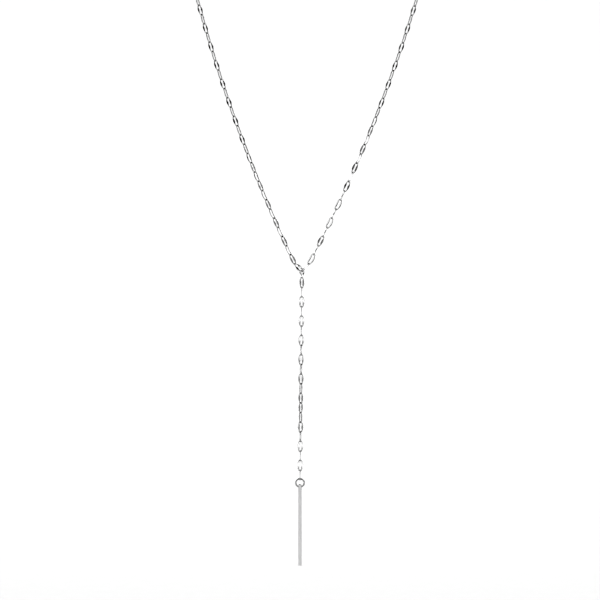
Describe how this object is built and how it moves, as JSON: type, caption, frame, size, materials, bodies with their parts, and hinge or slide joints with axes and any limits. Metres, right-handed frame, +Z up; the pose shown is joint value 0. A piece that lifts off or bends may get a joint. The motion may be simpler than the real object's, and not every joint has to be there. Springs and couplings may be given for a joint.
{
  "type": "y-drop chain choker with a bar pendant",
  "caption": "Fine silver link choker with a V front, a straight drop chain and a slim square bar hung on a round ring.",
  "frame": {"origin": "centre of the neck opening, about halfway between the front strands' tops and the nape", "axes": "+Z up, the drop chain hangs along -Z; -Y is the front, where the strands meet in a V; +X is the right-hand side seen from the front"},
  "size_m": [0.0807, 0.1115, 0.2141],
  "materials": {
    "chain_silver": "polished silver, links rolled flat along their sides",
    "ring_silver": "polished silver wire",
    "bar_silver": "fine satin silver"
  },
  "bodies": {
    "necklace": {"neck_chain_left": "chain_silver", "neck_chain_right": "chain_silver", "drop_chain": "chain_silver", "clasp": "ring_silver", "end_ring": "ring_silver"},
    "ring": {"jump_ring": "ring_silver"},
    "pendant": {"bar": "bar_silver"}
  },
  "joints": [
    {"name": "ring_swing", "type": "hinge", "parent": "necklace", "child": "ring", "pos_m": [-0.00057, -0.06628, -0.15903], "axis": [0, 1, 0], "range_deg": [-120, 120]},
    {"name": "bar_swing", "type": "hinge", "parent": "ring", "child": "pendant", "pos_m": [-0.00057, -0.06628, -0.16096], "axis": [1, 0, 0], "range_deg": [-120, 120]}
  ]
}
